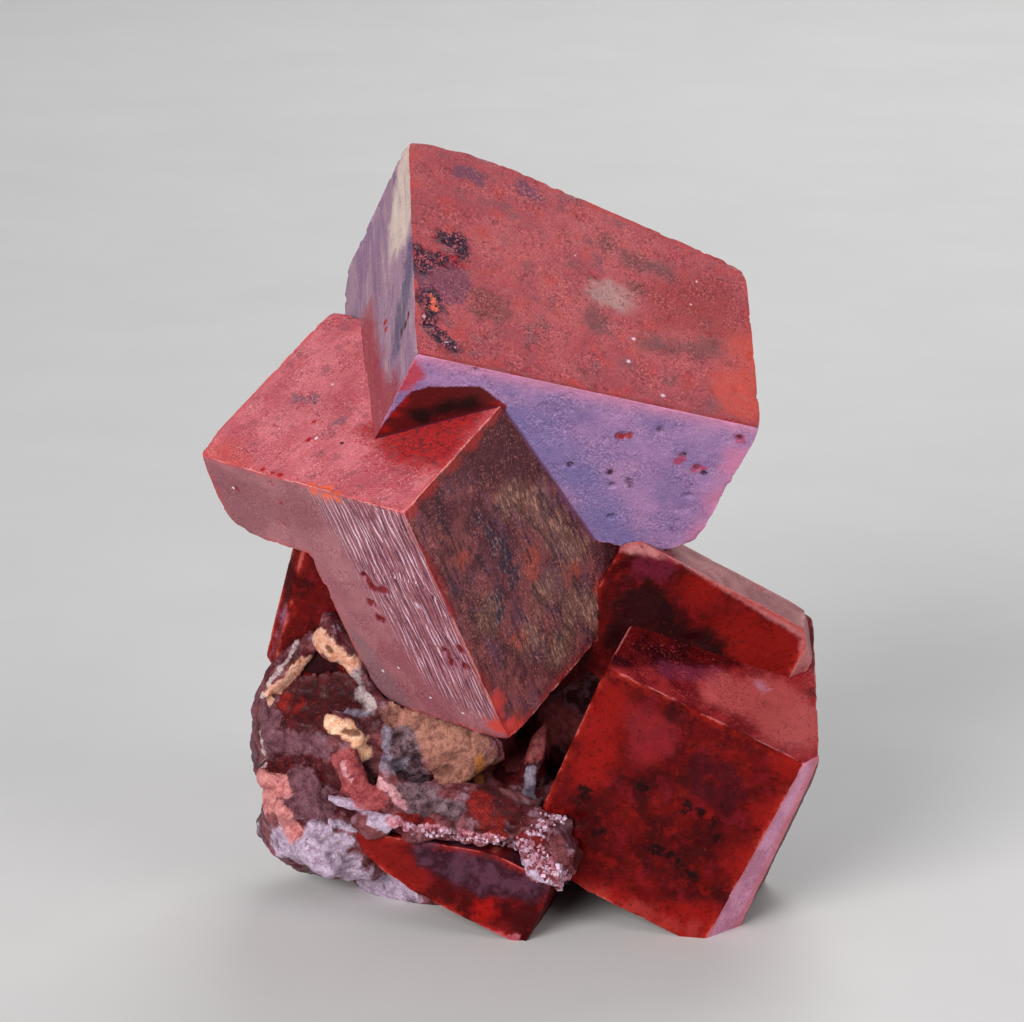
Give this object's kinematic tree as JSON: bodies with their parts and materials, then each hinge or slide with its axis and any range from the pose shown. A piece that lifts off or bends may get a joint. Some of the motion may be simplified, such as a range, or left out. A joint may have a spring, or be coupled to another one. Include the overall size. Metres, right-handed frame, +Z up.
{
  "type": "apophyllite crystal cluster on matrix",
  "caption": "Mineral specimen: blocky, nearly cubic red and lilac crystals grown through each other on a small piece of rock, cut flat below to stand.",
  "frame": {"origin": "on the flat face that the rock rests on", "axes": "+Z up from the resting face, +X to the right and +Y away from the side that shows best"},
  "size_m": [0.0499, 0.0433, 0.0634],
  "materials": {
    "pale_crystal": "satin crystal faces, pink to lilac, ribbed along the prism",
    "deep_red_crystal": "glossy deep red crystal, nearly opaque",
    "rock": "rough mixed rock, maroon, cream and grey"
  },
  "bodies": {
    "root": {"upper_crystals": "pale_crystal", "right_crystals": "deep_red_crystal", "lower_crystal": "deep_red_crystal", "left_crystal": "deep_red_crystal", "matrix": "rock"}
  },
  "joints": []
}
